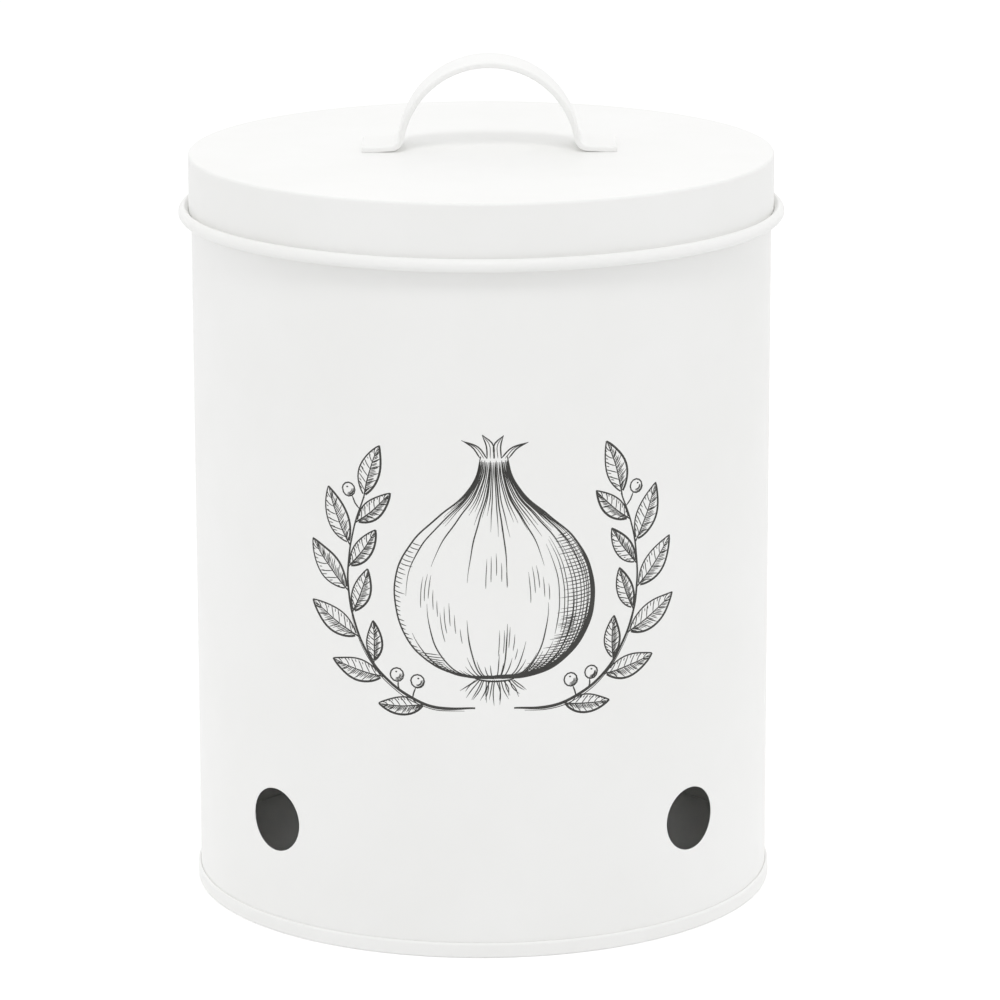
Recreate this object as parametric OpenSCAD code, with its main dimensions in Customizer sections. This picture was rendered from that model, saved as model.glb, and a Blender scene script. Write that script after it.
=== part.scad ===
/* [Body] */
// Outer diameter of the wall
body_d = 200; // [150:1:260]
// Height from the surface to the underside of the closed lid's top
body_h = 258.2; // [180:0.1:360]
// Thickness of the coated steel sheet in the wall, base and lid
sheet_t = 0.33; // [0.28:0.01:0.4]
// Outer diameter of the safety curl that rolls inward along the top edge
rim_curl_d = 3; // [2.4:0.1:4]
// Width of the folded lock seam down the inside of the back
side_seam_w = 6; // [4:0.5:10]
// Width of the fine line that the lock seam leaves on the outside
side_line_w = 0.5; // [0.3:0.1:1]

/* [Vents] */
// Diameter of each vent hole
vent_d = 22; // [12:0.5:30]
// Height of the vent holes' centres above the surface
vent_z = 39.7; // [30:0.1:70]
// Number of vent holes round the wall
vent_count = 4; // [2:2:4]
// Angle from the front to the first vent hole
vent_turn = 45; // [30:1:60]

/* [Base] */
// Height of the double seam that joins base and wall
seam_h = 5.1; // [4:0.1:8]
// Gap between neighbouring layers in the seam
seam_gap = 0.02; // [0.01:0.01:0.04]
// Slack between each hook's edge and the fold that it sits in
hook_slack = 0.3; // [0.2:0.05:0.6]
// Outer radius of the seam's two lower corners
seam_round = 0.5; // [0.4:0.01:0.6]
// Height of the base panel's upper face above the surface
base_rise = 7; // [6.5:0.5:14]
// Outer radius of the bend between base panel and seam
base_bend_r = 1.6; // [1:0.1:3]

/* [Lid] */
// Running clearance in radius between wall and lid skirt
lid_gap = 0.5; // [0.4:0.05:1]
// Clearance in height between the wall's curl and the lid's top panel
lid_seat_gap = 0.25; // [0.2:0.05:0.5]
// Height of the lid from the hem's lowest point to the top face
lid_h = 22.5; // [16:0.1:40]
// Outer radius of the bend between top panel and skirt
lid_edge_r = 1; // [0.6:0.1:4]
// Width of the hem that curls outward and up along the skirt's lower edge
hem_w = 3.95; // [3:0.05:6]
// Outer radius of the hem's upper part
crest_r = 2.5; // [1.5:0.1:3.5]
// Angle that the hem's upper part turns inward from upright
crest_turn = 74; // [40:1:90]

/* [Handle] */
// Width of the strap from front to back
strap_w = 22.5; // [15:0.5:40]
// Thickness of the strap
strap_t = 1.9; // [1:0.1:3]
// Outer radius of the arch
arch_r = 31.5; // [22:0.5:45]
// Height from the lid to the centre of the arch
arch_rise = -0.5; // [-1:0.1:10]
// Radius on the inside of each bend between arch and foot
bend_r = 3; // [2:0.1:5]
// Length of each foot from its bend to its tip
foot_l = 10.1; // [8:0.1:20]
// Length of each foot's flat, welded tip
weld_l = 4.4; // [2:0.1:6]
// Height by which each foot stands off the lid at its bend
foot_lift = 0.3; // [0.1:0.05:0.8]
// Offset of the handle's middle to the right of the lid's centre
handle_x = 2.8; // [-10:0.1:10]
// Offset of the handle's middle behind the lid's centre
handle_y = 5.3; // [-10:0.1:10]

/* [Hidden] */

$fn = 96;
coat = [0.93, 0.93, 0.92];
slice_step = 45;

// Wall
wall_r = body_d / 2;
wall_in_r = wall_r - sheet_t;
rim_r = rim_curl_d / 2;
rim_x = wall_r - rim_r;
rim_z = body_h - lid_seat_gap - rim_r;
rim_turn = 300;

// Double seam: five layers, from the base's inner wall out to its outer wall
layer = sheet_t + seam_gap;
seam_in_r = wall_in_r - layer;
seam_out_r = wall_r + 3 * layer;
seam_w = seam_out_r - seam_in_r;
fold_r = (3 * sheet_t + 2 * seam_gap) / 2;
fold_z = layer + fold_r;
seam_top_z = seam_h - fold_r;
base_bend_x = seam_in_r + sheet_t - base_bend_r;
base_bend_z = base_rise - base_bend_r;

// Lock seam: two more layers on the inside of the wall, clear of base and curl
side_seam_r = wall_in_r - 2 * sheet_t;
side_clear = 1;
side_z0 = base_rise + side_clear;
side_z1 = rim_z - rim_r - side_clear;
side_line_depth = sheet_t / 3;

// Lid
skirt_in_r = wall_r + lid_gap;
skirt_r = skirt_in_r + sheet_t;
lid_top_z = body_h + sheet_t;
lid_edge_x = skirt_r - lid_edge_r;
lid_edge_z = lid_top_z - lid_edge_r;
hem_r = hem_w / 2;
hem_x = skirt_in_r + hem_r;
hem_z = lid_top_z - lid_h + hem_r;
crest_x = skirt_in_r + hem_w - crest_r;

// Handle, measured from the lid's top face under the arch's middle
slope_l = foot_l - weld_l;
slope_a = atan(foot_lift / slope_l);
bend_out_r = bend_r + strap_t;
bend_z = bend_out_r * cos(slope_a) + foot_lift;
bend_x = sqrt(pow(arch_r + bend_r, 2) - pow(bend_z - arch_rise, 2));
join_a = atan2(bend_z - arch_rise, bend_x);
kink_x = bend_x - bend_out_r * sin(slope_a) + slope_l;
tip_x = kink_x + weld_l;
arch_steps = 72;
bend_steps = 12;

// A pie slice from angle a0 to angle a1 that reaches past radius r
module slice(r, a0, a1) {
    steps = ceil((a1 - a0) / slice_step);
    rim = [for (i = [0 : steps]) let (a = a0 + (a1 - a0) * i / steps) 2 * r * [cos(a), sin(a)]];
    polygon(concat([[0, 0]], rim));
}

// A bent sheet: the ring of outer radius r and thickness t, from angle a0 to angle a1
module bent(r, t, a0, a1) {
    intersection() {
        difference() {
            circle(r);
            circle(r - t);
        }
        slice(r, a0, a1);
    }
}

// An upright sheet whose inner face is at radius r, between two heights
module upright(r, z0, z1) {
    translate([r, z0]) square([sheet_t, z1 - z0]);
}

// The wall's section: hook into the base seam, straight sheet, and curl at the top
module wall_section() {
    upright(wall_r + layer + seam_gap, fold_z, seam_top_z - hook_slack);
    translate([wall_in_r + fold_r, fold_z]) bent(fold_r, sheet_t, 180, 360);
    upright(wall_in_r, fold_z, rim_z);
    translate([rim_x, rim_z]) bent(rim_r, sheet_t, 0, rim_turn);
}

// The channel under the seam, whose flat lower face carries the bin
module seam_channel() {
    difference() {
        union() {
            translate([seam_round, 0]) square([seam_w - 2 * seam_round, seam_round]);
            translate([0, seam_round]) square([seam_w, fold_z - seam_round]);
            for (x = [seam_round, seam_w - seam_round]) translate([x, seam_round]) circle(seam_round);
        }
        translate([sheet_t, sheet_t]) square([seam_w - 2 * sheet_t, fold_z]);
    }
}

// The base's section: raised panel, inner wall, channel, outer wall, and hook inside the wall's hook
module base_section() {
    translate([0, base_rise - sheet_t]) square([base_bend_x, sheet_t]);
    translate([base_bend_x, base_bend_z]) bent(base_bend_r, sheet_t, 0, 90);
    upright(seam_in_r, fold_z, base_bend_z);
    translate([seam_in_r, 0]) seam_channel();
    upright(seam_out_r - sheet_t, fold_z, seam_top_z);
    translate([seam_out_r - fold_r, seam_top_z]) bent(fold_r, sheet_t, 0, 180);
    upright(wall_r + seam_gap, fold_z + hook_slack, seam_top_z);
}

// The lid's section: top panel, bend, skirt, and hem curled outward and up, with a wider upper bend
module lid_section() {
    translate([0, body_h]) square([lid_edge_x, sheet_t]);
    translate([lid_edge_x, lid_edge_z]) bent(lid_edge_r, sheet_t, 0, 90);
    upright(skirt_in_r, hem_z, lid_edge_z);
    translate([hem_x, hem_z]) bent(hem_r, sheet_t, 180, 360);
    translate([crest_x, hem_z]) bent(crest_r, sheet_t, 0, crest_turn);
}

// The lock seam's inner layers, which overlap the wall by half its thickness
module side_seam() {
    intersection() {
        translate([0, 0, side_z0]) difference() {
            cylinder(r = wall_in_r + sheet_t / 2, h = side_z1 - side_z0);
            translate([0, 0, -side_clear]) cylinder(r = side_seam_r, h = side_z1 - side_z0 + 2 * side_clear);
        }
        translate([-side_seam_w / 2, 0, side_z0]) cube([side_seam_w, body_d, side_z1 - side_z0]);
    }
}

// The fine line on the outside, from the base seam up to the curl
module side_line() {
    translate([-side_line_w / 2, wall_r - side_line_depth, seam_h]) cube([side_line_w, sheet_t, rim_z - seam_h]);
}

// One tool for each vent hole, pointing outward
module vent_tools() {
    for (i = [0 : vent_count - 1]) {
        rotate([0, 0, vent_turn - 90 + i * 360 / vent_count]) translate([wall_r / 2, 0, vent_z])
            rotate([0, 90, 0]) cylinder(d = vent_d, h = wall_r);
    }
}

// Points along an arc of radius r about centre c, from angle a0 to angle a1
function arc(c, r, a0, a1, steps) =
    [for (i = [0 : steps]) let (a = a0 + (a1 - a0) * i / steps) c + r * [cos(a), sin(a)]];

// A list without its two end points, which the lists beside it bring
function between(points) = [for (i = [1 : len(points) - 2]) points[i]];

// A list mirrored to the left side, last point first
function flipped(points) = [for (i = [len(points) - 1 : -1 : 0]) [-points[i].x, points[i].y]];

// The handle's outline seen from the front: one foot, the arch's lower face, the other foot, its upper face
module strap_section() {
    arch_c = [0, arch_rise];
    bend_c = [bend_x, bend_z];
    foot = concat(
        arc(bend_c, bend_r, 180 + join_a, 270 - slope_a, bend_steps),
        [[kink_x + strap_t * tan(slope_a / 2), strap_t], [tip_x, strap_t], [tip_x, 0], [kink_x, 0]],
        arc(bend_c, bend_out_r, 270 - slope_a, 180 + join_a, bend_steps)
    );
    lower_arch = arc(arch_c, arch_r - strap_t, join_a, 180 - join_a, arch_steps);
    upper_arch = arc(arch_c, arch_r, 180 - join_a, join_a, arch_steps);
    polygon(concat(foot, between(lower_arch), flipped(foot), between(upper_arch)));
}

// Rolled wall, curled at the top, hooked at the bottom, seamed at the back and pierced for air
module body_wall() {
    color(coat) difference() {
        union() {
            rotate_extrude() wall_section();
            side_seam();
        }
        vent_tools();
        side_line();
    }
}

// Raised bottom with the double seam that grips the wall
module base_panel() {
    color(coat) rotate_extrude() base_section();
}

// Pressed cap that slips over the wall
module lid_shell() {
    color(coat) rotate_extrude() lid_section();
}

// Bent strap, welded to the lid by its two feet
module lid_handle() {
    color(coat) translate([handle_x, handle_y, lid_top_z]) rotate([90, 0, 0])
        linear_extrude(height = strap_w, center = true) strap_section();
}

body_wall();
base_panel();
lid_shell();
lid_handle();
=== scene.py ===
"""Round potato storage bin: coated steel wall, base, slip-over lid, strap handle and a drawing on the wall.

Every length is in metres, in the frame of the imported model: +Z up along the bin's axis, -Y to the front.
"""

import math
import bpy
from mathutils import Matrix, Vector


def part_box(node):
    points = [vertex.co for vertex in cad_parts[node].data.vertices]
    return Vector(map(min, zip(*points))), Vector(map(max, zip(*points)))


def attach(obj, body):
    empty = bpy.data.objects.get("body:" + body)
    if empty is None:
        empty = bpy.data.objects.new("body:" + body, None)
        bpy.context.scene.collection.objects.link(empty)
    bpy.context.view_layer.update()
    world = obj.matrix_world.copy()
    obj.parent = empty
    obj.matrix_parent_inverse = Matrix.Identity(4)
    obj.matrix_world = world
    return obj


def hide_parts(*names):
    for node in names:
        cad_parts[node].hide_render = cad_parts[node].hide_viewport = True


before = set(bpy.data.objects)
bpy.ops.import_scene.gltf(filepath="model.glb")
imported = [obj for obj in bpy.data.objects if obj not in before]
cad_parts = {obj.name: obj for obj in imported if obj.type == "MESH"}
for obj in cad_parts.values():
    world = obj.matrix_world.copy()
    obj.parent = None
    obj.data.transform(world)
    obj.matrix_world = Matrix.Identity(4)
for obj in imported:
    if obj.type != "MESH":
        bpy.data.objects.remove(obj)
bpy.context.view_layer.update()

from types import SimpleNamespace

import bpy
import numpy as np
from bpy.props import FloatProperty, FloatVectorProperty, IntProperty, PointerProperty
from mathutils import Matrix

bl_info = {
    "name": "Potato storage bin",
    "version": (1, 0, 0),
    "blender": (4, 5, 0),
    "location": "3D View > Sidebar > Storage bin",
    "description": "Builds the coated steel bin, its lid and handle, the drawing on the wall and the stage",
    "category": "Object",
}

MM = 0.001
LID_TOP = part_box("lid_handle")[0].z
WALL_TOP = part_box("body_wall")[1].z
BACK = 90.0
FRONT = -90.0
# Distance of the extra points that keep a long face's shading flat beside a bend
GUARD = 0.25 * MM
# Steps of the half circle round a sheet's raw edge
EDGE_STEPS = 6
# Distance by which the lock seam ends short of the base and of the curl
SEAM_CLEAR = 1 * MM
# The part of its range that a noise texture fills
NOISE_RANGE = (0.3, 0.7)


# Sizes and colours that a user would change

def length(name, description, default):
    """A property in metres."""
    return FloatProperty(name=name, description=description, default=default, unit="LENGTH",
                         subtype="DISTANCE", precision=5)


def number(name, description, default, **more):
    """A plain number from 0 up."""
    return FloatProperty(name=name, description=description, default=default, min=0, **more)


def angle(name, description, degrees):
    """An angle, given in degrees and kept in radians."""
    return FloatProperty(name=name, description=description, default=math.radians(degrees), subtype="ANGLE")


def position(name, description, default):
    """A place on a surface, in metres."""
    return FloatVectorProperty(name=name, description=description, default=default, size=2, unit="LENGTH",
                               subtype="XYZ", precision=5)


def tint(name, description, default):
    """A colour as the shaders use it."""
    return FloatVectorProperty(name=name, description=description, default=default, size=3, min=0, max=1,
                               subtype="COLOR")


class WallSettings(bpy.types.PropertyGroup):
    """The rolled wall with its hook, curl, lock seam and vents"""
    radius: length("Radius", "Outer radius of the wall", 100 * MM)
    sheet: length("Sheet", "Thickness of the sheet in wall, base and lid", 0.33 * MM)
    layer_gap: length("Layer gap", "Gap between the base seam's layers", 0.02 * MM)
    curl_radius: length("Curl radius", "Outer radius of the curl along the top edge", 1.5 * MM)
    curl_turn: angle("Curl turn", "Angle through which the top edge is curled", 300)
    seam_width: length("Lock seam width", "Width of the folded seam inside the back", 6 * MM)
    line_width: length("Seam line width", "Width of the lock seam's line outside", 0.5 * MM)
    vent_radius: length("Vent radius", "Radius of each vent hole", 11 * MM)
    vent_height: length("Vent height", "Height of the vent holes' centres", 39.7 * MM)
    vent_turn: angle("Vent turn", "Angle from the front to the first vent hole", 45)
    vent_count: IntProperty(name="Vents", description="Number of vent holes", default=4, min=0, max=6)


class BaseSettings(bpy.types.PropertyGroup):
    """The raised bottom and its double seam"""
    seam_height: length("Seam height", "Height of the double seam", 5.1 * MM)
    slack: length("Slack", "Slack between each hook's edge and its fold", 0.3 * MM)
    corner: length("Corner radius", "Outer radius of the seam's lower corners", 0.5 * MM)
    rise: length("Rise", "Height of the panel's upper face", 7 * MM)
    bend: length("Bend radius", "Outer radius of the bend from panel to seam", 1.6 * MM)
    crest: length("Crest radius", "Outer radius of the fold at the seam's top", 0.345 * MM)
    shoulder: angle("Shoulder", "Angle of the wider bend below the seam's fold", 60)


class LidSettings(bpy.types.PropertyGroup):
    """The pressed lid with its curled hem"""
    clearance: length("Clearance", "Running clearance in radius between wall and skirt", 0.5 * MM)
    edge: length("Edge radius", "Outer radius of the bend between top and skirt", 1.0 * MM)
    height: length("Height", "Height from the hem to the top", 22.5 * MM)
    hem_radius: length("Hem radius", "Outer radius of the lower half of the hem", 1.975 * MM)
    crest_radius: length("Crest radius", "Outer radius of the upper part of the hem", 2.5 * MM)
    crest_turn: angle("Crest turn", "Angle by which the upper part turns from upright", 74)
    tuck_radius: length("Tuck radius", "Outer radius of the bend at the hem's edge", 0.5 * MM)
    tuck_turn: angle("Tuck turn", "Angle by which the hem's edge turns from upright", 138)
    tuck_gap: length("Tuck gap", "Gap between the hem's edge and the skirt", 0.1 * MM)


class HandleSettings(bpy.types.PropertyGroup):
    """The strap handle on the lid"""
    width: length("Width", "Width of the strap from front to back", 22.5 * MM)
    thickness: length("Thickness", "Thickness of the strap", 1.9 * MM)
    arch: length("Arch radius", "Outer radius of the arch", 31.5 * MM)
    arch_rise: length("Arch rise", "Height from the lid to the arch's centre", -0.5 * MM)
    bend: length("Bend radius", "Inner radius of the bend from arch to foot", 3 * MM)
    foot: length("Foot length", "Length of each foot from bend to tip", 10.1 * MM)
    weld: length("Weld length", "Length of each foot's flat, welded tip", 4.4 * MM)
    lift: length("Foot lift", "Height of a foot above the lid at its bend", 0.3 * MM)
    edge: length("Upper edge radius", "Rounding of the strap's outer edges", 0.7 * MM)
    under: length("Lower edge radius", "Rounding of the strap's inner edges", 0.3 * MM)
    corner: length("Corner radius", "Rounding of the feet's corners", 0.9 * MM)
    shift: position("Place", "Middle of the handle on the lid, right and back", (2.8 * MM, 5.3 * MM))


class CoatSettings(bpy.types.PropertyGroup):
    """The satin powder coat"""
    colour: tint("Colour", "Colour of the coat", (0.875, 0.875, 0.866))
    roughness: number("Roughness", "Roughness of the coat", 0.46, max=1, subtype="FACTOR")
    grain: length("Grain", "Distance between the coat's ripples", 1.1 * MM)
    ripple: length("Ripple", "Depth of the coat's ripples", 0.012 * MM)


class DrawingSettings(bpy.types.PropertyGroup):
    """The pen drawing on the wall"""
    place: position("Place", "Middle of the drawing, right and up", (4 * MM, 131.5 * MM))
    thickness: length("Thickness", "Height of the ink above the coat", 0.02 * MM)
    sink: length("Sink", "Depth of the ink's underside in the coat", 0.01 * MM)
    spacing: length("Spacing", "Distance between the points of a stroke", 1.2 * MM)
    sway: length("Sway", "Sideways sway of the hand", 0.07 * MM)
    colour: tint("Colour", "Colour of the ink", (0.028, 0.0273, 0.0245))
    seed: IntProperty(name="Seed", description="Start of the strokes' chance values", default=11)


# Paths in a plane: rows of x, z and the direction's x, z

def ray(degrees):
    """The unit direction at an angle, or one at each of several."""
    a = np.radians(degrees)
    return np.stack([np.cos(a), np.sin(a)], axis=-1)


def straight(start, end, marks=()):
    """start + direction * distance, at both ends and close to them, and at each mark, in metres."""
    start, end = np.array(start, float), np.array(end, float)
    span = np.linalg.norm(end - start)
    direction = (end - start) / span
    stops = [0, span, *marks] + ([GUARD, span - GUARD] if span > 4 * GUARD else [])
    at = np.unique(np.round(stops, 9))
    return np.hstack([start + at[:, None] * direction, np.tile(direction, (len(at), 1))])


def curved(centre, radius, first, last, steps):
    """centre + radius * (cos a, sin a), with a running evenly from first to last, in degrees."""
    out = ray(np.linspace(first, last, steps + 1))
    return np.hstack([centre + radius * out, np.sign(last - first) * out[:, ::-1] * (-1, 1)])


def joined(*stretches):
    """One path. Each stretch starts on its neighbour's last point, which is kept once."""
    return np.vstack([stretches[0]] + [s[1:] for s in stretches[1:]])


def mirrored(path):
    """The same path on the other side of x = 0, run the other way, so that its directions keep their x."""
    return path[::-1] * [-1, 1, 1, -1]


def left_side(path):
    """The direction turned a quarter to the left."""
    return np.column_stack([-path[:, 3], path[:, 2]])


def sheet_outline(path, thickness, first_raw):
    """Outline of a sheet round its middle line: the point plus or minus half the thickness times the left
    side, with a half circle round the last raw edge, and round the first one where first_raw is true."""
    half = thickness / 2
    point, side = path[:, :2], left_side(path)
    a = np.linspace(0, np.pi, EDGE_STEPS + 1)[1:-1, None]
    last_edge = point[-1] + half * (np.cos(a) * side[-1] + np.sin(a) * path[-1, 2:])
    parts = [point + half * side, last_edge, (point - half * side)[::-1]]
    if first_raw:
        parts.append(point[0] - half * (np.cos(a) * side[0] + np.sin(a) * path[0, 2:]))
    return np.vstack(parts)


# Meshes

def skin(ids):
    """Faces over a grid of point numbers: each cell's corners, taken down the rows first."""
    cells = np.stack([ids[:-1, :-1], ids[1:, :-1], ids[1:, 1:], ids[:-1, 1:]], axis=-1)
    return cells.reshape(-1, 4)


def closed_round(ids):
    """The same grid with its first column repeated at the end."""
    return np.hstack([ids, ids[:, :1]])


def make_piece(name, points, faces, material, smooth=True):
    """A mesh object at the origin, of the points that the faces use. faces is a list of arrays, each with its
    own number of corners."""
    used = np.unique(np.concatenate([block.ravel() for block in faces]))
    corners = [corner for block in faces for corner in np.searchsorted(used, block).tolist()]
    mesh = bpy.data.meshes.new(name)
    mesh.from_pydata(points[used].tolist(), [], corners)
    if smooth:
        mesh.shade_smooth()
    mesh.validate()
    mesh.materials.append(material)
    piece = bpy.data.objects.new(name, mesh)
    bpy.context.scene.collection.objects.link(piece)
    return piece


def turned(outline, angles):
    """An outline turned about Z: (x cos a, x sin a, z) for each of its points and each angle in degrees."""
    a = np.radians(angles)
    x, z = outline[:, :1], outline[:, 1:]
    return np.stack([x * np.cos(a), x * np.sin(a), z + 0 * a], axis=-1)


def turned_cap(name, outline, columns, material):
    """A turned piece whose outline starts and ends on the axis, where each end becomes one point."""
    angles = np.arange(columns) * 360 / columns
    body = turned(outline[1:-1], angles).reshape(-1, 3)
    ends = np.array([[0, 0, outline[0, 1]], [0, 0, outline[-1, 1]]])
    ids = closed_round(np.arange(len(body)).reshape(-1, columns))
    near, far = ids[0], ids[-1]
    tip = np.full(columns, len(body))
    fans = [np.column_stack([tip, near[:-1], near[1:]]), np.column_stack([tip + 1, far[1:], far[:-1]])]
    return make_piece(name, np.vstack([body, ends]), [skin(ids), *fans], material)


# Materials

def plug(tree, socket, value):
    """Gives an input a plain value, or links another node's output to it."""
    if isinstance(value, bpy.types.NodeSocket):
        tree.links.new(value, socket)
    else:
        socket.default_value = value


def feed(tree, made, **values):
    """Gives a node its settings and inputs by name, with the spaces in an input's name as underscores."""
    for key, value in values.items():
        socket = made.inputs.get(key.replace("_", " "))
        if socket:
            plug(tree, socket, value)
        else:
            setattr(made, key, value)
    return made


def node(tree, kind, **values):
    """A new node with its settings and inputs."""
    return feed(tree, tree.nodes.new("ShaderNode" + kind), **values)


def maths(tree, operation, *values):
    """The result of a sum. Each value is a number or another node's output."""
    made = node(tree, "Math", operation=operation)
    for socket, value in zip(made.inputs, values):
        plug(tree, socket, value)
    return made.outputs[0]


def ripples(tree, place, size, detail, roughness):
    """Noise whose features are about size metres across."""
    made = node(tree, "TexNoise", Vector=place, Scale=1 / size, Detail=detail, Roughness=roughness)
    return made.outputs["Fac"]


def ramp(tree, factor, dark, light):
    """A colour from dark to light, over the part of its range that noise fills."""
    made = node(tree, "ValToRGB", Fac=factor)
    for stop, position, colour in zip(made.color_ramp.elements, NOISE_RANGE, (dark, light)):
        stop.position, stop.color = position, (*colour, 1)
    return made.outputs["Color"]


def spread(tree, factor, low, high):
    """A number from low to high, over the part of its range that noise fills."""
    first, last = NOISE_RANGE
    made = node(tree, "MapRange", Value=factor, From_Min=first, From_Max=last, To_Min=low, To_Max=high)
    return made.outputs["Result"]


def new_material(name):
    """A material with its node tree."""
    material = bpy.data.materials.new(name)
    material.use_nodes = True
    return material, material.node_tree


def coat_material(name, shift):
    """Satin powder coat: a fine ripple in the surface, and slow, faint changes of tone and of roughness. The
    shift moves all of them, so that no two pieces look alike."""
    coat = bpy.context.scene.bin_coat
    colour = np.array(coat.colour)
    material, tree = new_material(name)
    place = node(tree, "TexCoord").outputs["Object"]
    place = node(tree, "Mapping", Vector=place, Location=(shift, 2 * shift, 3 * shift)).outputs["Vector"]
    tone = ripples(tree, place, 60 * MM, 3.0, 0.6)
    sheen = ripples(tree, place, 9 * MM, 4.0, 0.55)
    grain = ripples(tree, place, coat.grain, 2.0, 0.5)
    bump = node(tree, "Bump", Strength=1.0, Distance=coat.ripple, Height=grain)
    feed(tree, tree.nodes["Principled BSDF"],
         Base_Color=ramp(tree, tone, colour * (0.985, 0.985, 0.98), np.minimum(colour * 1.01, 1)),
         Roughness=spread(tree, sheen, coat.roughness - 0.05, coat.roughness + 0.05),
         Normal=bump.outputs["Normal"], IOR=1.5)
    return material


def ink_material():
    """Nearly black ink, slightly uneven in tone."""
    colour = np.array(bpy.context.scene.bin_drawing.colour)
    material, tree = new_material("ink")
    tone = ripples(tree, node(tree, "TexCoord").outputs["Object"], 5 * MM, 3.0, 0.6)
    feed(tree, tree.nodes["Principled BSDF"], Roughness=0.55,
         Base_Color=ramp(tree, tone, colour * 0.8, colour * 1.35))
    return material


# Pieces

def seam_numbers(wall, base):
    """Radii and heights that wall and base share in the double seam, which has five layers of sheet."""
    layer = wall.sheet + wall.layer_gap
    wall_in = wall.radius - wall.sheet
    fold = (3 * wall.sheet + 2 * wall.layer_gap) / 2
    return SimpleNamespace(layer=layer, wall_in=wall_in, inner=wall_in - layer,
                           outer=wall.radius + 3 * layer, fold=fold, fold_z=layer + fold,
                           top_z=base.seam_height - fold)


def wall_path(wall, base, heights):
    """Middle line of the wall: hook, fold, straight sheet with points at the given heights, and curl."""
    seam = seam_numbers(wall, base)
    half = wall.sheet / 2
    middle = wall.radius - half
    curl_z = WALL_TOP - wall.curl_radius
    hook_x = wall.radius + seam.layer + wall.layer_gap + half
    curl_c = (wall.radius - wall.curl_radius, curl_z)
    return joined(
        straight((hook_x, seam.top_z - base.slack), (hook_x, seam.fold_z)),
        curved((seam.wall_in + seam.fold, seam.fold_z), seam.fold - half, 360, 180, 8),
        straight((middle, seam.fold_z), (middle, curl_z), np.array(heights) - seam.fold_z),
        curved(curl_c, wall.curl_radius - half, 0, math.degrees(wall.curl_turn), 24),
    )


def lock_seam(wall, beside, z, low, high):
    """How far the lock seam stands out of the inner face: two sheets, falling to nothing round its four edges
    along a quarter ellipse. beside is the distance from the seam's middle."""
    full, soft = 2 * wall.sheet, wall.sheet
    beyond = np.maximum(np.abs(beside) - (wall.seam_width / 2 - soft), 0) / soft
    below = np.maximum(np.maximum(low + soft - z, z - (high - soft)), 0) / soft
    return full * np.sqrt(np.clip(1 - beyond ** 2 - below ** 2, 0, 1))


def seam_line(wall, beside, z, low, high):
    """Depth of the fine line outside: a third of a sheet at the middle, rising smoothly to both sides."""
    depth = wall.sheet / 3 * np.clip(1 - (beside / (wall.line_width / 2)) ** 2, 0, 1) ** 2
    return depth * ((z > low) & (z < high))


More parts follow.
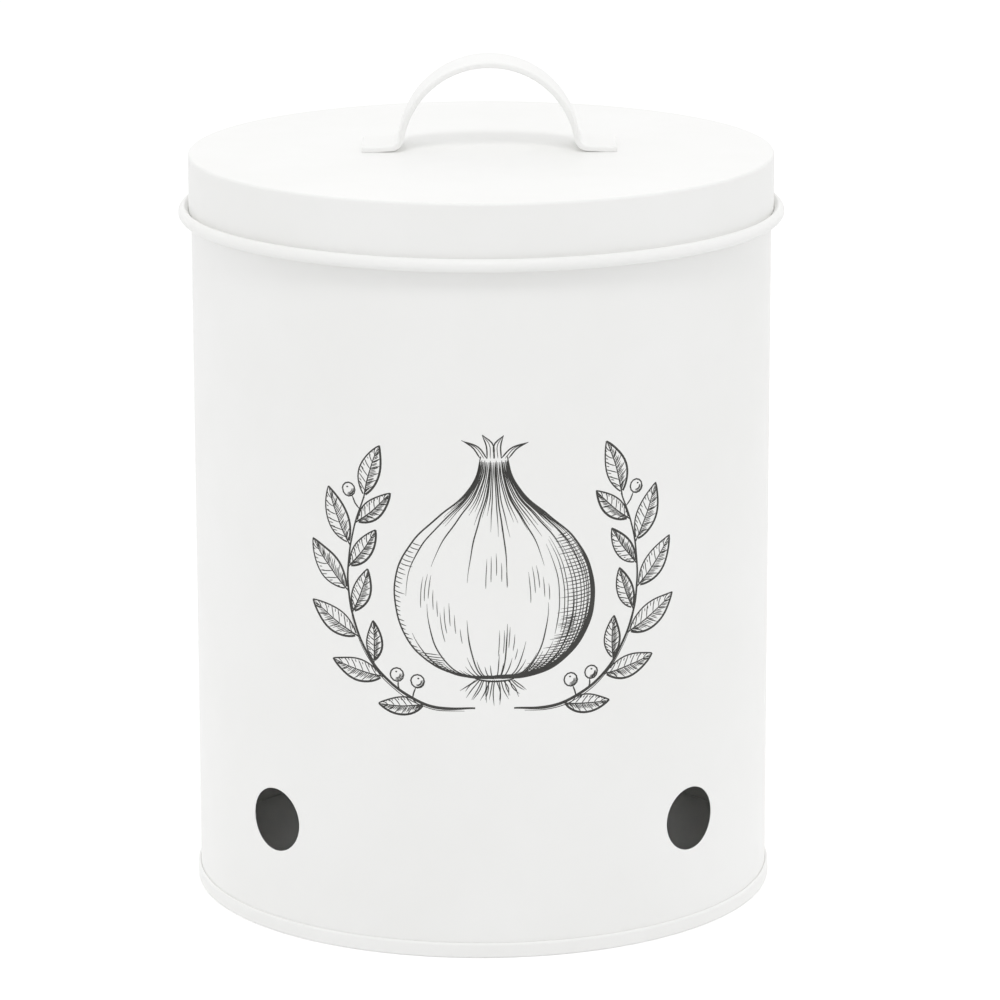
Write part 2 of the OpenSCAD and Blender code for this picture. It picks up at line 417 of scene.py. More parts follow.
class BIN_OT_wall(bpy.types.Operator):
    """Build the rolled wall with its vents, curl and lock seam"""
    bl_idname = "storage_bin.wall"
    bl_label = "Wall"

    # Cells along each side of the square window round a vent: one a degree
    cells = 24
    # Rows of points above the vents, and the height of one more row below them
    rows_above, row_below = 26, 13.5 * MM
    # Shares of the way from a window's square to the vent's circle
    sleeve_out = np.array([0.2, 0.4, 0.58, 0.73, 0.85, 0.93, 0.98, 1.0])

    def execute(self, context):
        wall, base = context.scene.bin_wall, context.scene.bin_base
        step = math.radians(1) * wall.radius
        band = wall.vent_height + step * (np.arange(self.cells + 1) - self.cells / 2)
        curl_low = WALL_TOP - 2 * wall.curl_radius
        seam_low, seam_high = base.rise + SEAM_CLEAR, curl_low - SEAM_CLEAR
        soft = wall.sheet * np.array([0, 0.1, 0.4, 1])
        above = np.linspace(band[-1], seam_high - wall.sheet, self.rows_above)[1:-1]
        single = [base.seam_height, self.row_below]
        path = wall_path(wall, base, np.concatenate([single, seam_low + soft, band, above, seam_high - soft]))
        outline = sheet_outline(path, wall.sheet, True)
        angles, beside = self.columns(wall)
        points = turned(outline, angles)
        inner, outer = np.arange(len(path)), len(outline) - EDGE_STEPS - np.arange(len(path))
        upright = (path[:, 2] == 0) & (path[:, 0] < wall.radius)
        z = path[:, 1:2]
        a = np.radians(angles)
        outward = np.stack([np.cos(a), np.sin(a), 0 * a], axis=-1) * upright[:, None, None]
        points[inner] -= lock_seam(wall, beside, z, seam_low, seam_high)[..., None] * outward
        points[outer] -= seam_line(wall, beside, z, base.seam_height, curl_low)[..., None] * outward

        rows, columns = points.shape[:2]
        ids = closed_round(np.arange(rows * columns).reshape(rows, columns))
        faces = skin(np.vstack([ids, ids[:1]])).reshape(rows, columns, 4)
        low = int(np.flatnonzero(upright & np.isclose(path[:, 1], band[0], atol=GUARD / 10))[0])
        window = low + np.arange(self.cells + 1)
        keep = np.ones((rows, columns), bool)
        grids, blocks = [points.reshape(-1, 3)], []
        start = rows * columns
        for k in range(wall.vent_count):
            turn = (FRONT + math.degrees(wall.vent_turn) + k * 360 / wall.vent_count) % 360
            first = int(np.searchsorted(angles, turn - self.cells / 2 - 0.01))
            keep[inner[window[:-1]], first:first + self.cells] = False
            keep[outer[window[1:]], first:first + self.cells] = False
            sleeve = self.sleeve(wall, turn, band)
            middle = start + np.arange(sleeve.shape[0] * sleeve.shape[1]).reshape(sleeve.shape[:2])
            start += middle.size
            grids.append(sleeve.reshape(-1, 3))
            out_ring, in_ring = (self.ring(ids, side[window], first) for side in (outer, inner))
            blocks.append(skin(closed_round(np.vstack([out_ring, middle, in_ring])))[:, ::-1])
        coat = coat_material("wall_coat", 0.0)
        piece = make_piece("wall_sheet", np.vstack(grids), [faces[keep], *blocks], coat)
        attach(piece, "bin")
        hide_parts("body_wall")
        return {"FINISHED"}

    def columns(self, wall):
        """Angles of the columns, one a degree and more at the lock seam, and their distances from it."""
        line = wall.line_width / 2 * np.array([0, 0.35, 0.65, 0.85, 1, 1.4])
        edge = wall.seam_width / 2 - wall.sheet * np.array([0, 0.1, 0.3, 0.6, 1, 1.6])
        near = np.degrees(np.concatenate([line, edge, [wall.seam_width / 2 + GUARD]]) / wall.radius)
        fine = np.concatenate([BACK - near, BACK + near])
        whole = np.arange(360.0)
        whole = whole[np.min(np.abs(whole[:, None] - fine), axis=1) > 0.1]
        angles = np.unique(np.round(np.concatenate([whole, fine]), 6))
        return angles, np.radians(angles - BACK) * wall.radius

    def ring(self, ids, rows, first):
        """Point numbers round a window of the grid, from its lower left corner to the right and up."""
        window = ids[rows][:, first:first + self.cells + 1]
        return np.concatenate([window[0, :-1], window[:-1, -1], window[-1, :0:-1], window[:0:-1, 0]])

    def sleeve(self, wall, turn, band):
        """Points between a window's edge outside and inside. The window's square runs over into a circle
        round the hole, a half circle carries the coated edge through it, and the circle runs back into the
        square."""
        side = np.arange(self.cells) / self.cells * 2 - 1
        right = np.concatenate([side, 0 * side + 1, -side, 0 * side - 1])
        up = np.concatenate([0 * side - 1, side, 0 * side + 1, -side])
        square_a = right * math.radians(self.cells / 2)
        square_z = up * (band[-1] - band[0]) / 2
        way = np.radians(np.linspace(0, 360, 4 * self.cells, endpoint=False) - 135)
        half = wall.sheet / 2
        middle = wall.radius - half

        def circle(radius, reach):
            """Angle and height, at radius, of a circle of the given reach about the hole's axis."""
            return np.arcsin(reach * np.cos(way) / radius), reach * np.sin(way)

        def flat(radius, shares):
            """Rows on one face of the sheet."""
            a, z = circle(radius, wall.vent_radius + half)
            return [(radius, (1 - s) * square_a + s * a, (1 - s) * square_z + s * z) for s in shares]

        rows = flat(wall.radius, self.sleeve_out)
        for b in np.radians(np.linspace(22.5, 157.5, 7)):
            edge = middle + half * math.cos(b)
            rows.append((edge, *circle(edge, wall.vent_radius + half * (1 - math.sin(b)))))
        rows += flat(wall.radius - wall.sheet, self.sleeve_out[::-1])
        radius = np.array([r for r, _, _ in rows])[:, None]
        a = math.radians(turn) + np.array([x for _, x, _ in rows])
        z = wall.vent_height + np.array([x for _, _, x in rows])
        return np.stack([radius * np.cos(a), radius * np.sin(a), z], axis=-1)


class BIN_OT_base(bpy.types.Operator):
    """Build the raised bottom and the double seam round it"""
    bl_idname = "storage_bin.base"
    bl_label = "Base"

    # Columns round the base
    columns = 360

    def execute(self, context):
        wall, base = context.scene.bin_wall, context.scene.bin_base
        seam = seam_numbers(wall, base)
        half = wall.sheet / 2
        bend_x = seam.inner + wall.sheet - base.bend
        panel_z = base.rise - half
        inner_x, outer_x = seam.inner + half, seam.outer - half
        hook_x = wall.radius + wall.layer_gap + half
        round_r = base.corner - half
        turn = math.degrees(base.shoulder)
        cosine, sine = ray(turn)
        top_r = base.crest - half
        slope_r = (outer_x - hook_x - top_r * (1 + cosine)) / (1 - cosine)
        top_z = base.seam_height - base.crest
        slope_z = top_z + (top_r - slope_r) * sine
        path = joined(
            straight((0, panel_z), (bend_x, panel_z), np.linspace(0, bend_x, 16)[1:-1]),
            curved((bend_x, base.rise - base.bend), base.bend - half, 90, 0, 8),
            straight((inner_x, base.rise - base.bend), (inner_x, base.corner)),
            curved((seam.inner + base.corner, base.corner), round_r, 180, 270, 5),
            straight((seam.inner + base.corner, half), (seam.outer - base.corner, half)),
            curved((seam.outer - base.corner, base.corner), round_r, 270, 360, 5),
            straight((outer_x, base.corner), (outer_x, slope_z)),
            curved((outer_x - slope_r, slope_z), slope_r, 0, turn, 8),
            curved((hook_x + top_r, top_z), top_r, turn, 180, 8),
            straight((hook_x, top_z), (hook_x, seam.fold_z + base.slack)),
        )
        outline = sheet_outline(path, wall.sheet, False)
        piece = turned_cap("base_pan", outline, self.columns, coat_material("base_coat", 0.31))
        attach(piece, "bin")
        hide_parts("base_panel")
        return {"FINISHED"}


class BIN_OT_lid(bpy.types.Operator):
    """Build the lid with its skirt and its curled hem"""
    bl_idname = "storage_bin.lid"
    bl_label = "Lid"

    # Columns round the lid, whose edge is close to the eye
    columns = 480

    def execute(self, context):
        wall, lid = context.scene.bin_wall, context.scene.bin_lid
        half = wall.sheet / 2
        skirt_in = wall.radius + lid.clearance
        edge_x, edge_z = skirt_in + wall.sheet - lid.edge, LID_TOP - lid.edge
        top_z, skirt_x = LID_TOP - half, skirt_in + half
        hem_x, hem_z = skirt_in + lid.hem_radius, LID_TOP - lid.height + lid.hem_radius
        crest = np.array([hem_x + lid.hem_radius - lid.crest_radius, hem_z])
        crest_turn, tuck_turn = math.degrees(lid.crest_turn), math.degrees(lid.tuck_turn)
        tuck = crest + (lid.crest_radius - lid.tuck_radius) * ray(crest_turn)
        last_bend = tuck + (lid.tuck_radius - half) * ray(tuck_turn)
        edge_way = ray(tuck_turn + 90)
        reach = (last_bend[0] - (skirt_in + wall.sheet + lid.tuck_gap + half)) / -edge_way[0]
        path = joined(
            straight((0, top_z), (edge_x, top_z), np.linspace(0, edge_x, 24)[1:-1]),
            curved((edge_x, edge_z), lid.edge - half, 90, 0, 10),
            straight((skirt_x, edge_z), (skirt_x, hem_z), np.linspace(0, edge_z - hem_z, 6)[1:-1]),
            curved((hem_x, hem_z), lid.hem_radius - half, 180, 360, 18),
            curved(crest, lid.crest_radius - half, 0, crest_turn, 12),
            curved(tuck, lid.tuck_radius - half, crest_turn, tuck_turn, 8),
            straight(last_bend, last_bend + reach * edge_way),
        )
        outline = sheet_outline(path, wall.sheet, False)
        piece = turned_cap("lid_cap", outline, self.columns, coat_material("lid_coat", 0.67))
        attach(piece, "lid")
        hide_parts("lid_shell")
        return {"FINISHED"}


def inset(radius, room):
    """How far a face lies inside the strap's outline, room away from its tip: a quarter circle there."""
    return radius - np.sqrt(radius ** 2 - np.maximum(radius - room, 0) ** 2)


class BIN_OT_handle(bpy.types.Operator):
    """Build the strap handle with its two welded feet"""
    bl_idname = "storage_bin.handle"
    bl_label = "Handle"

    # Angles of the points round each of the section's four edges
    turns = np.arange(0, 91, 18)

    def execute(self, context):
        strap = context.scene.bin_handle
        path = self.path(strap)
        room = path[-1, :1] - np.abs(path[:, :1])
        count = len(self.turns)
        a = np.radians(np.add.outer([0, 90, 180, 270], self.turns).ravel())
        radius = np.repeat([strap.edge, strap.edge, strap.under, strap.under], count)
        thin, narrow = inset(radius, room), inset(strap.corner, room)
        soft = np.maximum(radius - thin, 0)
        front = np.repeat([1, -1, -1, 1], count) * (strap.width / 2 - narrow - radius) + radius * np.cos(a)
        out = np.repeat([1, 1, -1, -1], count) * (strap.thickness / 2 - thin - soft) + soft * np.sin(a)
        side = left_side(path)
        points = np.stack([
            strap.shift[0] + path[:, :1] + side[:, :1] * out,
            strap.shift[1] - front,
            LID_TOP + path[:, 1:2] + side[:, 1:] * out,
        ], axis=-1)
        rows, columns = points.shape[:2]
        ids = np.arange(rows * columns).reshape(rows, columns)
        faces = [skin(closed_round(ids)), np.array([ids[0], ids[-1][::-1]])]
        piece = make_piece("strap_handle", points.reshape(-1, 3), faces, coat_material("handle_coat", 0.93))
        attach(piece, "lid")
        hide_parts("lid_handle")
        return {"FINISHED"}

    def path(self, strap):
        """Middle line from the left foot's tip to the right one's: the right half and its mirror image."""
        half = strap.thickness / 2
        slope_l = strap.foot - strap.weld
        slope = math.atan(strap.lift / slope_l)
        bend_out = strap.bend + strap.thickness
        bend_z = bend_out * math.cos(slope) + strap.lift
        bend_x = math.sqrt((strap.arch + strap.bend) ** 2 - (bend_z - strap.arch_rise) ** 2)
        join = math.degrees(math.atan2(bend_z - strap.arch_rise, bend_x))
        kink_x = bend_x - bend_out * math.sin(slope) + slope_l
        bend = curved((bend_x, bend_z), strap.bend + half, 180 + join, 270 - math.degrees(slope), 14)
        tip = kink_x + strap.weld
        ends = strap.edge * (1 - np.cos(np.radians(self.turns[1:])))
        marks = strap.weld - np.concatenate([ends, strap.corner * (1 - np.cos(np.radians([30, 50, 70, 90])))])
        right = joined(
            curved((0, strap.arch_rise), strap.arch - half, 90, join, 48),
            bend,
            straight(bend[-1, :2], (kink_x, half)),
            straight((kink_x, half), (tip, half), marks),
        )
        return joined(mirrored(right), right)


# The pen drawing, in millimetres across and up from its middle

def run(points):
    """Distance along a line, at each of its points."""
    return np.concatenate([[0], np.cumsum(np.linalg.norm(np.diff(points, axis=0), axis=1))])


def along(at, way, points):
    """Points of a line at distances, where way holds the distances of its own points."""
    return np.column_stack([np.interp(at, way, column) for column in points.T])


def through(points, count):
    """A smooth curve through given points: cubic pieces whose slopes come from the neighbours."""
    points = np.array(points, float)
    way = run(points)
    slope = np.gradient(points, way, axis=0)
    at = np.linspace(0, way[-1], count)
    k = np.clip(np.searchsorted(way, at, side="right") - 1, 0, len(way) - 2)
    span = (way[k + 1] - way[k])[:, None]
    u = (at - way[k])[:, None] / span
    return ((1 + 2 * u) * (1 - u) ** 2 * points[k] + u * (1 - u) ** 2 * span * slope[k]
            + u ** 2 * (3 - 2 * u) * points[k + 1] - u ** 2 * (1 - u) * span * slope[k + 1])


class Pen:
    """Collects strokes. Each one is an array of place across, place up and width."""

    def __init__(self, seed, sway, spacing):
        self.chance = np.random.default_rng(seed)
        self.sway, self.spacing = sway, spacing
        self.strokes = []

    def vary(self, amount):
        """A chance value between minus and plus the amount."""
        return self.chance.uniform(-amount, amount)

    def line(self, points, width, start=0.4, end=0.4):
        """One stroke through the points. Its width falls to the start and end shares at its ends, and the
        hand's sway is two slow waves across the line."""
        points = np.asarray(points, float)
        way = run(points)
        at = np.linspace(0, way[-1], max(5, math.ceil(way[-1] / self.spacing)))
        place = along(at, way, points)
        wide = np.interp(at, way, np.broadcast_to(width, len(points)))
        share = at / way[-1]
        wide = wide * np.minimum(1, start + 5 * share) * np.minimum(1, end + 2.5 * (1 - share))
        phase = self.chance.uniform(0, 2 * np.pi, 2)
        wave = self.sway * (np.sin(at / 4.3 + phase[0]) + 0.6 * np.sin(at / 1.7 + phase[1]))
        self.strokes.append(np.column_stack([place + wave[:, None] * across(place), wide]))


def across(place):
    """The unit direction to the left of a line, at each of its points."""
    ahead = np.gradient(place, axis=0)
    ahead /= np.linalg.norm(ahead, axis=1, keepdims=True)
    return np.column_stack([-ahead[:, 1], ahead[:, 0]])


class Bulb:
    """An onion. A line of longitude is its outline, narrowed by the sine of the angle."""
    half = [(0, -33.4), (9, -33.0), (20, -29.6), (29, -21.4), (33.4, -9.6), (32.7, 2.4), (27, 13.2),
            (17.5, 22.3), (9.6, 29.4), (5.7, 36.2), (4.4, 42.2)]
    # Leaf ends at the neck: where each one starts, its tip, and the side to which it leans
    ends = [(-3.4, (-10.8, 47.6), 1), (-1.2, (-3.9, 49.5), 1),
            (1.3, (3.2, 49.3), -1), (3.6, (11.4, 46.8), -1)]
    # Groups of flecks: share of the way up, and longitude
    flecks = [(0.52, -47), (0.43, -33), (0.56, 21), (0.36, 3), (0.6, -5)]
    fine, bold = 0.3, 0.55

    def __init__(self, pen):
        self.pen = pen
        self.outline = through(self.half, 200)

    def place(self, share, longitude):
        """Points at shares of the way up the outline and at longitudes in degrees. A line round the bulb sags
        a little, as it does when seen from slightly above."""
        count = len(self.outline)
        wide, high = along(np.asarray(share) * (count - 1), np.arange(count), self.outline).T
        lon = np.radians(longitude)
        return np.column_stack([wide * np.sin(lon), high - 0.09 * wide * np.cos(lon)])

    def meridian(self, longitude, low, high, width):
        """A line up the bulb between two shares of the way."""
        share = np.linspace(low, high, 60)
        self.pen.line(self.place(share, longitude + 0 * share), width, end=0.2)

    def parallel(self, share, first, last):
        """A fine line round the bulb between two longitudes."""
        lon = np.linspace(first, last, 24)
        self.pen.line(self.place(share + 0 * lon, lon), self.fine, end=0.2)

    def draw(self):
        """The outline, the skin's lines, the shading round both sides, flecks, neck and roots."""
        vary = self.pen.vary
        for side in (-1, 1):
            edge = self.outline * (side, 1)
            shade = np.clip((edge[:, 0] - edge[:, 1]) / 45, 0, 1) ** 2
            self.pen.line(edge, self.bold * (1 + 2.4 * shade), start=1, end=0.6)
            rim = self.place(np.linspace(0.1, 0.62, 60), side * 86.5 + np.linspace(-1.5, 0, 60))
            self.pen.line(rim, self.fine)
        for longitude in np.arange(-80, 81, 5.5):
            dark = (longitude + 80) / 160
            tilt = longitude + vary(1.2)
            width = self.fine * (1 + 0.3 * dark)
            self.meridian(tilt, 0.03, 0.17 + 0.2 * dark + vary(0.05), width)
            self.meridian(tilt, 0.985, 0.8 - 0.12 * dark + vary(0.05), width)
        for longitude in (-64, -41, -17, 9, 33, 52, 66):
            tilt = longitude + vary(2)
            breaks = 0.47 + vary(0.08)
            self.meridian(tilt, 0.05, breaks - 0.05, self.fine * 1.5)
            self.meridian(tilt, 0.99, breaks + 0.07, self.fine * 1.5)
        for longitude in np.arange(40, 84, 4.2):
            self.meridian(longitude + vary(1), 0.3 + vary(0.06), 0.66 + vary(0.05), self.fine)
        for share in np.linspace(0.17, 0.68, 44):
            dark = np.sin(np.pi * (share - 0.05) / 0.75)
            self.parallel(share, 87, 66 - 22 * dark + vary(5))
        for share in np.linspace(0.12, 0.4, 26):
            self.parallel(share, 60 + vary(5), 22 + 90 * (share - 0.12) + vary(5))
        for share in np.linspace(0.14, 0.64, 34):
            self.parallel(share, -87, -70 + 26 * abs(share - 0.36) + vary(5))
        for share in np.linspace(0.09, 0.27, 15):
            self.parallel(share, -70 + vary(4), -52 + 60 * (share - 0.09) + vary(4))
        for share, longitude in self.flecks:
            for step in range(5):
                low = share + vary(0.015) - 0.02 * abs(step - 2)
                self.meridian(longitude + 3.1 * step, low - 0.05, low + 0.05 - 0.012 * step, self.fine * 0.85)
        self.neck()
        self.roots()

    def neck(self):
        """Dry leaf ends that part at the top: two lines that meet at the tip, with a crease between them."""
        for root, tip, lean in self.ends:
            for offset, width in ((-1.1, self.bold), (0, self.fine), (1.1, self.bold)):
                foot = np.array([root + offset, 41.5])
                middle = (foot + tip) / 2 + (lean * 1.1 + 0.5 * offset, 0.6)
                self.pen.line(through([foot, middle, tip], 16), width * 0.85, end=0.3)

    def roots(self):
        """A tuft of thin roots under the bulb, and the plate that they grow from."""
        turn = np.linspace(0, np.pi, 20)
        self.pen.line(np.column_stack([-7.2 * np.cos(turn), -33.3 - 1.5 * np.sin(turn)]), self.bold)
        for foot in np.linspace(-6.4, 6.4, 19):
            drop = 7.5 - 0.07 * foot ** 2 + self.pen.vary(1.6)
            end = np.array([foot * 1.75 + self.pen.vary(1.2), -34.4 - drop])
            start = np.array([foot, -34.4])
            middle = (start + end) / 2 + (self.pen.vary(0.9), 0)
            self.pen.line(through([start, middle, end], 14), self.fine * 1.15, start=1, end=0.2)


class Sprig:
    """A bay sprig beside the bulb, drawn for the right side and mirrored for the left one."""
    stem = [(6.5, -44.2), (21, -43.8), (37, -35.0), (47, -20), (50.4, -3), (48.8, 13), (44.2, 27)]
    # Share of the way up the stem, turn from the stem's direction in degrees, and length
    leaves = [(0.17, -24, 17), (0.34, -34, 20), (0.40, 38, 15), (0.50, -38, 21.5), (0.585, 36, 16.5),
              (0.66, -38, 21.5), (0.745, 36, 17), (0.82, -36, 20.5), (0.9, 33, 16.5), (1.0, -4, 19.5)]
    # The same, with the length of the stalk to the berry's middle
    berries = [(0.27, 46, 5.4), (0.22, 80, 6.2), (0.95, -52, 7.6)]
    berry_radius = 2.3
    fine, bold = 0.27, 0.5

    def __init__(self, pen, side):
        self.pen, self.side = pen, side
        self.curve = through(self.stem, 120)

    def line(self, points, width, **taper):
        """A stroke on this sprig's side."""
        self.pen.line(np.asarray(points) * (self.side, 1), width, **taper)

    def foot(self, share):
        """Place on the stem and the stem's direction there, in degrees."""
        last = len(self.curve) - 1
        k = min(int(share * last), last - 1)
        ahead = self.curve[k + 1] - self.curve[k]
        return self.curve[k], math.degrees(math.atan2(ahead[1], ahead[0]))

    def draw(self):
        """The stem with a fine line along its lower side, the leaves and the berries."""
        self.line(self.curve, np.linspace(1.1, 0.5, len(self.curve)), start=0.5, end=1)
        self.line(self.curve[4:70] + (0.2, -0.9), self.fine, end=0.2)
        for share, turn, length in self.leaves:
            place, heading = self.foot(share)
            self.leaf(place, heading + turn, length + self.pen.vary(0.7), -np.sign(turn))
        for share, turn, reach in self.berries:
            place, heading = self.foot(share)
            self.berry(place, ray(heading + turn), reach)

    def leaf(self, foot, heading, length, bend):
        """A leaf: the midrib turns evenly along its length, and the half width is that of a lens with a
        drawn-out tip. Veins and hatching run from the midrib to the edge, the hatching on the shaded half."""
        count = 41
        u = np.linspace(0, 1, count)
        step = length / (count - 1) * ray(heading + 16 * bend * (u - 0.3))
        rib = foot + np.vstack([[0, 0], np.cumsum(step[:-1], axis=0)])
        side = across(rib)
        half = 0.19 * length * np.sin(np.pi * np.clip((u - 0.06) / 0.94, 0, 1) ** 0.86) ** 0.9

        def at(share, out):
            """A point at a share of the midrib and of the half width, which is negative on the other half."""
            reach = np.interp(share, u, half) * out
            return along(share, u, rib) + along(share, u, side) * reach[:, None]

        self.line(rib, np.linspace(0.5, 0.3, count), start=1)
        for out in (-1, 1):
            shaded = out * self.shaded(heading) > 0
            self.line(at(u[3:], out), self.bold * (1.5 if shaded else 1.0), start=1, end=0.8)
            p = np.linspace(0, 1, 12)
            for share in np.linspace(0.14, 0.8, 6):
                self.line(at(share + 0.13 * p, out * 0.94 * p ** 0.9), self.fine * 1.15, end=0.3)
            hatches, first, last = (26, 0.04, 0.62) if shaded else (13, 0.62, 0.95)
            for share in np.linspace(0.08, 0.88, hatches):
                p = np.linspace(first, last + self.pen.vary(0.14), 8)
                self.line(at(share + 0.13 * p, out * p), self.fine, end=0.2)

    def shaded(self, heading):
        """1 where the half to the left of the midrib faces away from the light at the upper left, else -1."""
        away = heading if self.side > 0 else 180 - heading
        lit = math.sin(math.radians(away + 45))
        return math.copysign(1, -lit) * self.side

    def berry(self, foot, way, reach):
        """A round berry on a short stalk, with curved hatching on its lower right and a fleck at its tip."""
        middle = foot + reach * way
        stalk = middle - self.berry_radius * way
        self.line([foot, (foot + stalk) / 2 + (0.3, -0.3), stalk], self.bold)
        self.line(self.arc(middle, 1, 0, 360, 40), self.bold, start=1, end=1)
        dark = -45 if self.side > 0 else -135
        for share in (0.82, 0.66, 0.5):
            self.line(self.arc(middle, share, dark - 62, dark + 62, 12), self.fine * 1.1)
        tip = middle + 0.45 * self.berry_radius * way
        self.line([tip - (0.35, 0), tip + (0.35, 0)], self.bold)

    def arc(self, middle, share, first, last, count):
        """Points on an arc round a berry's middle, at a share of its radius."""
        return middle + share * self.berry_radius * ray(np.linspace(first, last, count))


class BIN_OT_drawing(bpy.types.Operator):
    """Draw the onion and the bay sprigs on the wall, as thin layers of ink"""
    bl_idname = "storage_bin.drawing"
    bl_label = "Drawing"

    def execute(self, context):
        ink, wall = context.scene.bin_drawing, context.scene.bin_wall
        pen = Pen(ink.seed, ink.sway / MM, ink.spacing / MM)
        Bulb(pen).draw()
        for side in (-1, 1):
            Sprig(pen, side).draw()
        rings = [self.layer(stroke, ink, wall, k / len(pen.strokes)) for k, stroke in enumerate(pen.strokes)]
        starts = np.cumsum([0] + [len(r) for r in rings])
        grids = [np.arange(4 * first, 4 * last).reshape(-1, 4) for first, last in zip(starts, starts[1:])]
        faces = [skin(closed_round(ids)) for ids in grids]
        faces += [np.array([ids[0], ids[-1][::-1]]) for ids in grids]
        points = np.vstack(rings).reshape(-1, 3)
        piece = make_piece("wall_drawing", points, faces, ink_material(), smooth=False)
        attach(piece, "bin")
        return {"FINISHED"}

    def layer(self, stroke, ink, wall, share):
        """Four corners at each point of a stroke, wound round the wall: both edges, sunk into the coat and
        on top of the ink. Later strokes lie a little higher, so that no two share a surface."""
        place, half = stroke[:, :2], stroke[:, 2:] / 2
        side = across(place) * half
        low, high = -ink.sink, ink.thickness * (1 + 0.5 * share)
        corners = np.stack([place - side, place - side, place + side, place + side], axis=1) * MM
        out = wall.radius + np.array([low, high, high, low])
        angle = math.radians(FRONT) + (corners[..., 0] + ink.place[0]) / wall.radius
        return np.stack([out * np.cos(angle), out * np.sin(angle), corners[..., 1] + ink.place[1]], axis=-1)


class StageSettings(bpy.types.PropertyGroup):
    """Camera, floor and light"""
    lens: number("Lens", "Focal length on a 36 mm sensor", 189.12, unit="CAMERA")
    distance: length("Distance", "Distance of the camera in front of the bin's axis", 1783.9 * MM)
    height: length("Height", "Height of the camera", 576.1 * MM)
    pitch: angle("Pitch", "Angle by which the camera looks down", 13.914)
    yaw: angle("Yaw", "Angle by which the camera looks to the right", 0.2012)
    roll: angle("Roll", "Angle by which the camera leans", -0.1166)
    sky: number("Sky", "Strength of the light from above the horizon", 0.692)
    sky_side: number("Sky, sides", "Strength added towards the left and right", 0.54)
    sky_back: number("Sky, back", "Strength added towards the back", 0.8)
    lamp: number("Lamp", "Power of the soft lamp in front", 6.5, unit="POWER")
    lamp_size: length("Lamp size", "Width of the soft lamp", 500 * MM)
    lamp_aim: length("Lamp aim", "Height at which the lamp points", 200 * MM)
    lamp_distance: length("Lamp distance", "Distance of the lamp from where it points", 1800 * MM)
    lamp_rise: angle("Lamp rise", "Angle of the lamp above the horizon", 59)
    bounces: IntProperty(name="Bounces", description="How often light is passed on", default=16, min=4)


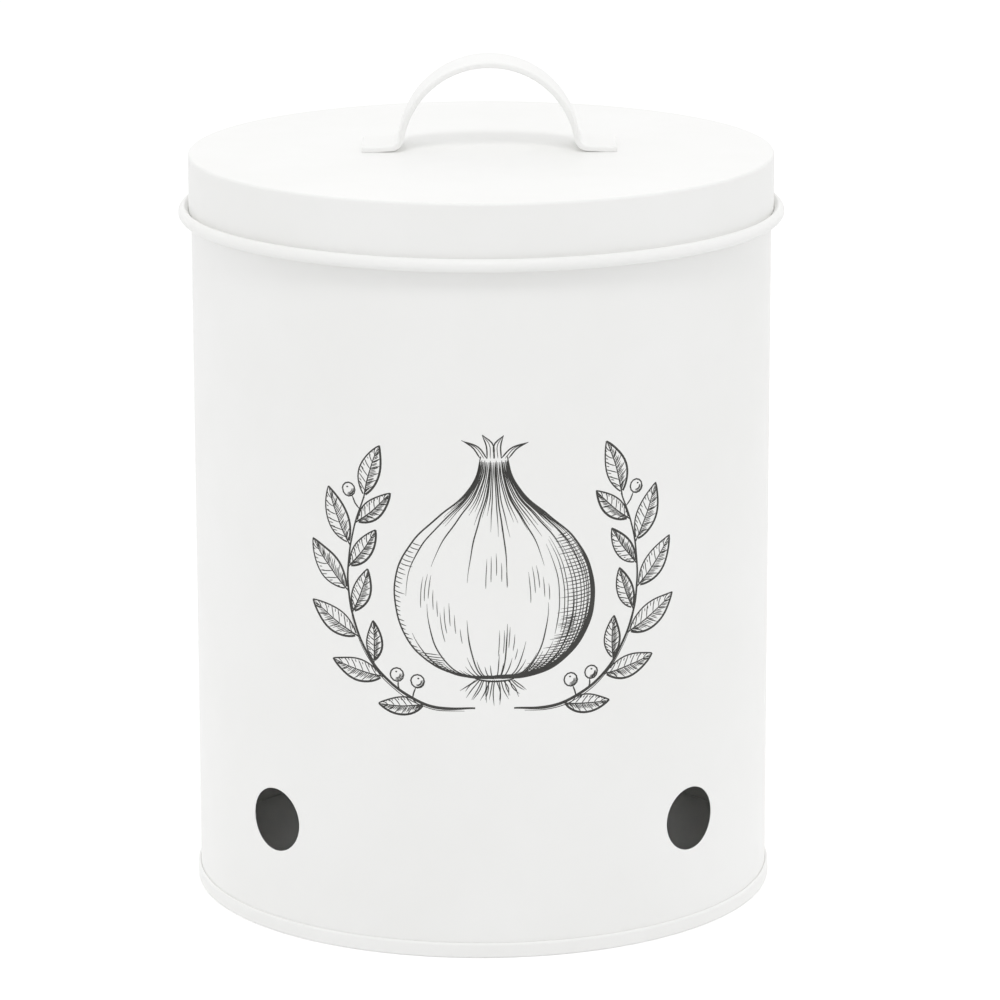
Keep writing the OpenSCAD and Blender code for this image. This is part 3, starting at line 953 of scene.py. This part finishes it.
class BIN_OT_stage(bpy.types.Operator):
    """Set up the camera, the pale floor and the soft light"""
    bl_idname = "storage_bin.stage"
    bl_label = "Stage"

    sensor = 36
    # Half the floor's width, its distance under the bin, and the strength of its own light
    floor_reach, floor_gap, floor_glow = 4.0, 0.05 * MM, 0.2

    def execute(self, context):
        stage = context.scene.bin_stage
        self.camera(context, stage)
        self.floor(context)
        self.light(context, stage)
        return {"FINISHED"}

    def camera(self, context, stage):
        """The camera's right, up and back directions, turned by yaw, pitch and roll."""
        yaw, pitch, roll = stage.yaw, stage.pitch, stage.roll
        ahead = np.array([math.sin(yaw) * math.cos(pitch), math.cos(yaw) * math.cos(pitch), -math.sin(pitch)])
        level = np.array([math.cos(yaw), -math.sin(yaw), 0])
        upward = np.cross(level, ahead)
        right = level * math.cos(roll) + upward * math.sin(roll)
        up = upward * math.cos(roll) - level * math.sin(roll)
        data = bpy.data.cameras.new("camera")
        data.lens, data.sensor_width = stage.lens, self.sensor
        camera = bpy.data.objects.new("camera", data)
        camera.matrix_world = placed(right, up, -ahead, (0, -stage.distance, stage.height))
        context.scene.collection.objects.link(camera)
        context.scene.camera = camera

    def floor(self, context):
        """A plane whose own light, seen but not cast, lifts it to white and keeps the shadow."""
        material, tree = new_material("pale_floor")
        tree.nodes.clear()
        matt = node(tree, "BsdfDiffuse", Color=(0.9, 0.9, 0.9, 1))
        strength = maths(tree, "MULTIPLY", seen(tree), self.floor_glow)
        glow = node(tree, "Emission", Color=(1, 1, 1, 1), Strength=strength)
        both = node(tree, "AddShader")
        tree.links.new(matt.outputs[0], both.inputs[0])
        tree.links.new(glow.outputs[0], both.inputs[1])
        node(tree, "OutputMaterial", Surface=both.outputs[0])
        reach = self.floor_reach
        corners = np.array([[-reach, -reach, 0], [reach, -reach, 0], [reach, reach, 0], [-reach, reach, 0]])
        floor = make_piece("floor", corners - (0, 0, self.floor_gap), [np.array([[0, 1, 2, 3]])], material)

    def light(self, context, stage):
        """A white sky, brighter at the sides and the back, and a soft lamp above and in front."""
        world = bpy.data.worlds.new("studio")
        world.use_nodes = True
        tree = world.node_tree
        x, y, z = node(tree, "SeparateXYZ", Vector=node(tree, "TexCoord").outputs["Generated"]).outputs
        light = stage.sky
        for part, strength in ((x, stage.sky_side), (maths(tree, "MAXIMUM", y, 0), stage.sky_back)):
            light = maths(tree, "MULTIPLY_ADD", maths(tree, "POWER", part, 2), strength, light)
        light = maths(tree, "MULTIPLY", light, maths(tree, "GREATER_THAN", z, 0))
        blend = node(tree, "MapRange", Value=seen(tree), To_Min=light, To_Max=1.0)
        feed(tree, tree.nodes["Background"], Color=(1, 1, 1, 1), Strength=blend.outputs["Result"])
        context.scene.world = world

        data = bpy.data.lights.new("soft_lamp", "AREA")
        data.shape, data.size, data.energy = "DISK", stage.lamp_size, stage.lamp
        lamp = bpy.data.objects.new("soft_lamp", data)
        rise = stage.lamp_rise
        back = np.array([0, -math.cos(rise), math.sin(rise)])
        place = (0, 0, stage.lamp_aim) + stage.lamp_distance * back
        lamp.matrix_world = placed((1, 0, 0), (0, math.sin(rise), math.cos(rise)), back, place)
        context.scene.collection.objects.link(lamp)
        context.scene.view_settings.view_transform = "Standard"
        context.scene.cycles.max_bounces = context.scene.cycles.diffuse_bounces = stage.bounces


def placed(right, up, back, place):
    """The matrix of an object with these directions of its own, at a place."""
    return Matrix([*np.column_stack([right, up, back, place]).tolist(), (0, 0, 0, 1)])


def seen(tree):
    """1 for rays from the camera and in reflections and glass, and 0 for the light that falls on the bin."""
    rays = node(tree, "LightPath").outputs
    total = rays["Is Camera Ray"]
    for kind in ("Is Glossy Ray", "Is Transmission Ray"):
        total = maths(tree, "MAXIMUM", total, rays[kind])
    return total


class BIN_PT_panel(bpy.types.Panel):
    """Lists the bin's pieces with their settings"""
    bl_idname = "BIN_PT_panel"
    bl_label = "Storage bin"
    bl_space_type = "VIEW_3D"
    bl_region_type = "UI"
    bl_category = "Storage bin"

    def draw(self, context):
        for name in SETTINGS:
            if name in STEPS:
                self.layout.operator("storage_bin." + name)
            settings = getattr(context.scene, "bin_" + name)
            for prop in settings.bl_rna.properties:
                if prop.identifier not in ("name", "rna_type"):
                    self.layout.prop(settings, prop.identifier)


SETTINGS = {"coat": CoatSettings, "wall": WallSettings, "base": BaseSettings, "lid": LidSettings,
            "handle": HandleSettings, "drawing": DrawingSettings, "stage": StageSettings}
STEPS = ["wall", "base", "lid", "handle", "drawing", "stage"]
CLASSES = [*SETTINGS.values(), BIN_OT_wall, BIN_OT_base, BIN_OT_lid, BIN_OT_handle, BIN_OT_drawing,
           BIN_OT_stage, BIN_PT_panel]


def register():
    for item in CLASSES:
        bpy.utils.register_class(item)
    for name, group in SETTINGS.items():
        setattr(bpy.types.Scene, "bin_" + name, PointerProperty(type=group))


def unregister():
    for name in SETTINGS:
        delattr(bpy.types.Scene, "bin_" + name)
    for item in reversed(CLASSES):
        bpy.utils.unregister_class(item)


def main():
    register()
    for name in STEPS:
        getattr(bpy.ops.storage_bin, name)()


if __name__ == "__main__":
    main()
